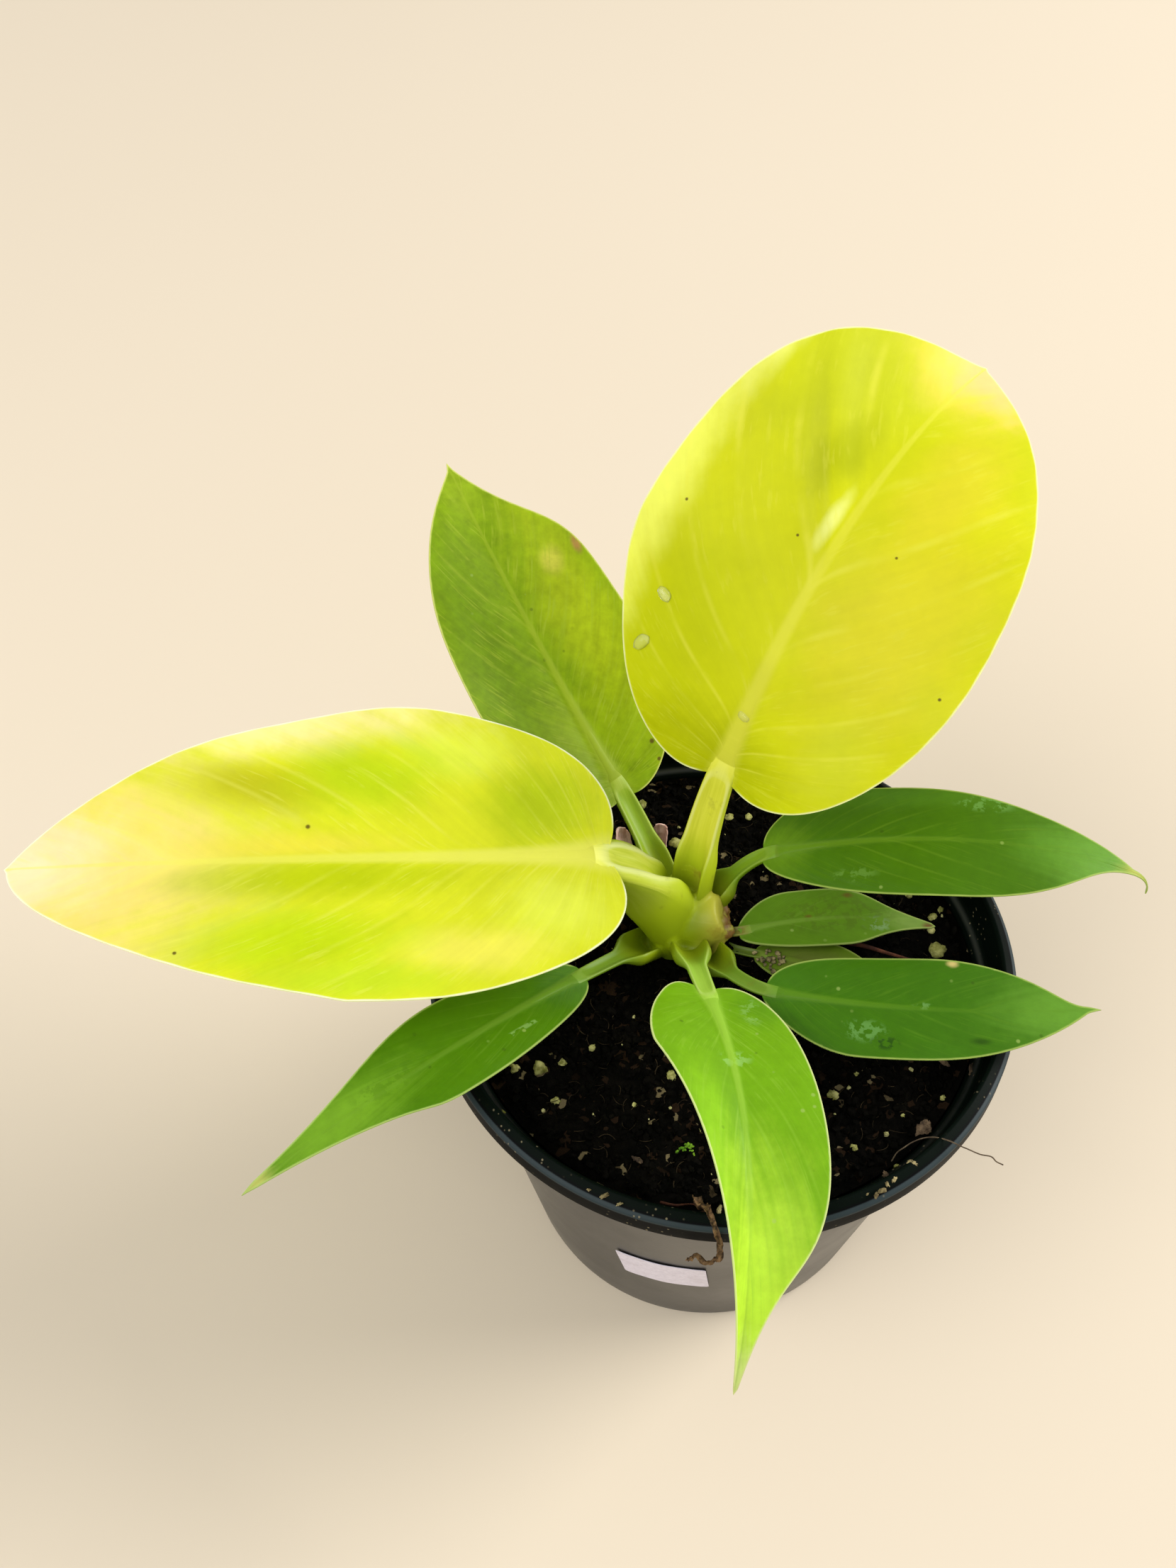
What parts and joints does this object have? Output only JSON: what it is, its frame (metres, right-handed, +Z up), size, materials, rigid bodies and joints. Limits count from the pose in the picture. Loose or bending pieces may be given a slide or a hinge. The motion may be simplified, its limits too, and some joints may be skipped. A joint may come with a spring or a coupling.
{
  "type": "potted clair de lune philodendron",
  "caption": "Young chartreuse philodendron with large yellow and small green leaves, growing from a short clasped stem in a round black nursery pot.",
  "frame": {"origin": "middle of the pot's underside, on the surface it stands on", "axes": "+Z up through the pot, +X to the right and -Y to the front, where the sticker is"},
  "size_m": [0.2428, 0.1868, 0.1984],
  "materials": {
    "yellow_leaf": "satin",
    "green_leaf": "satin",
    "stem_skin": "satin",
    "dried_leaf": "matte",
    "potting_mix": "matte",
    "black_plastic": "satin",
    "sticker": "matte"
  },
  "bodies": {
    "root": {"leaf_large_back": "yellow_leaf", "leaf_large_left": "yellow_leaf", "leaf_back_left": "green_leaf", "leaf_right_upper": "green_leaf", "leaf_right_lower": "green_leaf", "leaf_front": "green_leaf", "leaf_left_lower": "green_leaf", "leaf_small_right": "green_leaf", "leaf_small_hidden": "green_leaf", "stem": "stem_skin", "dried_sheath_left": "dried_leaf", "dried_sheath_back": "dried_leaf", "dried_scrap": "dried_leaf", "soil": "potting_mix", "pot": "black_plastic", "label": "sticker"}
  },
  "joints": []
}
